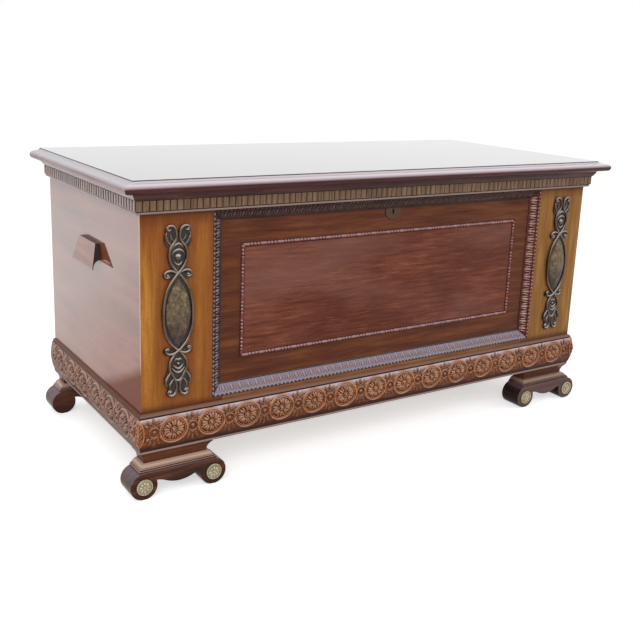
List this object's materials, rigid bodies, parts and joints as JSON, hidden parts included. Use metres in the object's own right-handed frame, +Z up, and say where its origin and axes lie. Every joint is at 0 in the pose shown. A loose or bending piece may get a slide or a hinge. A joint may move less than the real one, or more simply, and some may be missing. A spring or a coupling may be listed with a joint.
{
  "type": "cassone",
  "caption": "Low lift-lid cassone on scroll feet, with carved base moulding, recessed framed front panel, carved stile appliques, reeded lid edge, side handles, chest lock and folding stays",
  "frame": {"origin": "on the floor plane, under the middle of the whole chest's bounding box", "axes": "+X to the chest's right-hand end as seen from the front, along its length; +Y from the carved front to the back; +Z up, from the feet to the lid"},
  "size_m": [1.16, 0.5432, 0.5735],
  "materials": {
    "walnut": "glossy lacquered walnut",
    "orange_walnut": "glossy lacquered orange-brown walnut",
    "side_veneer": "high-gloss lacquered veneer",
    "red_mahogany": "glossy red mahogany",
    "dark_walnut": "glossy dark stained wood",
    "olive_wood": "polished olive-brown inlay",
    "lid_wood": "high-gloss lacquered walnut",
    "plain_board": "plain unlacquered boards",
    "aged_brass": "aged brass",
    "lock_steel": "darkened steel"
  },
  "bodies": {
    "case": {"bottom_board": "plain_board", "back_panel": "plain_board", "top_rail": "walnut", "bottom_rail": "walnut", "field_panel": "walnut", "centre_panel": "red_mahogany", "bead_frame": "red_mahogany", "side_panel_left": "side_veneer", "side_panel_right": "side_veneer", "stile_left": "orange_walnut", "stile_right": "orange_walnut", "frame_moulding_top": "dark_walnut", "frame_moulding_bottom": "dark_walnut", "frame_moulding_left": "dark_walnut", "frame_moulding_right": "dark_walnut", "base_moulding_front": "orange_walnut", "base_moulding_left": "orange_walnut", "base_moulding_right": "orange_walnut", "applique_left": "dark_walnut", "applique_right": "dark_walnut", "cabochon_left": "olive_wood", "cabochon_right": "olive_wood", "pedestal_front_left": "dark_walnut", "pedestal_front_right": "dark_walnut", "pedestal_rear_left": "dark_walnut", "pedestal_rear_right": "dark_walnut", "foot_front_left": "dark_walnut", "foot_front_right": "dark_walnut", "foot_rear_left": "dark_walnut", "foot_rear_right": "dark_walnut", "handle_left": "dark_walnut", "handle_right": "dark_walnut", "foot_rosettes": "aged_brass", "escutcheon": "aged_brass", "lock_case": "lock_steel", "hinge_pins": "aged_brass", "hinge_case_leaf_left": "aged_brass", "hinge_case_leaf_right": "aged_brass", "stay_case_plate_left": "lock_steel", "stay_case_plate_right": "lock_steel"},
    "lid": {"lid_panel": "lid_wood", "lid_nosing_front": "lid_wood", "lid_nosing_left": "lid_wood", "lid_nosing_right": "lid_wood", "cornice_front": "dark_walnut", "cornice_left": "dark_walnut", "cornice_right": "dark_walnut", "lid_rail_back": "lid_wood", "hinge_lid_leaf_left": "aged_brass", "hinge_lid_leaf_right": "aged_brass", "lock_staple": "lock_steel", "stay_lid_plate_left": "lock_steel", "stay_lid_plate_right": "lock_steel"},
    "bolt": {"lock_bolt": "lock_steel"},
    "lower_arm_left": {"stay_lower_arm_left": "lock_steel"},
    "upper_arm_left": {"stay_upper_arm_left": "lock_steel"},
    "lower_arm_right": {"stay_lower_arm_right": "lock_steel"},
    "upper_arm_right": {"stay_upper_arm_right": "lock_steel"}
  },
  "joints": [
    {"name": "lid_hinge", "type": "hinge", "parent": "case", "child": "lid", "pos_m": [0, 0.2676, 0.51415], "axis": [-1, 0, 0], "range_deg": [0, 95]},
    {"name": "lower_arm_left_turn", "type": "hinge", "parent": "case", "child": "lower_arm_left", "pos_m": [-0.5166, 0.08634, 0.42963], "axis": [-1, 0, 0], "range_deg": [0, 95]},
    {"name": "upper_arm_left_turn", "type": "hinge", "parent": "lower_arm_left", "child": "upper_arm_left", "pos_m": [-0.5142, -0.11264, 0.44978], "axis": [-1, 0, 0], "range_deg": [-95, 0]},
    {"name": "lower_arm_right_turn", "type": "hinge", "parent": "case", "child": "lower_arm_right", "pos_m": [0.5166, 0.08634, 0.42963], "axis": [-1, 0, 0], "range_deg": [0, 95]},
    {"name": "upper_arm_right_turn", "type": "hinge", "parent": "lower_arm_right", "child": "upper_arm_right", "pos_m": [0.5142, -0.11264, 0.44978], "axis": [-1, 0, 0], "range_deg": [-95, 0]},
    {"name": "bolt_slide", "type": "slide", "parent": "case", "child": "bolt", "axis": [1, 0, 0], "range_m": [0, 0.008]}
  ],
  "couplings": [
    {"joint": "lower_arm_left_turn", "follows": "lid_hinge", "ratio": 1},
    {"joint": "upper_arm_left_turn", "follows": "lid_hinge", "ratio": -1},
    {"joint": "lower_arm_right_turn", "follows": "lid_hinge", "ratio": 1},
    {"joint": "upper_arm_right_turn", "follows": "lid_hinge", "ratio": -1}
  ]
}
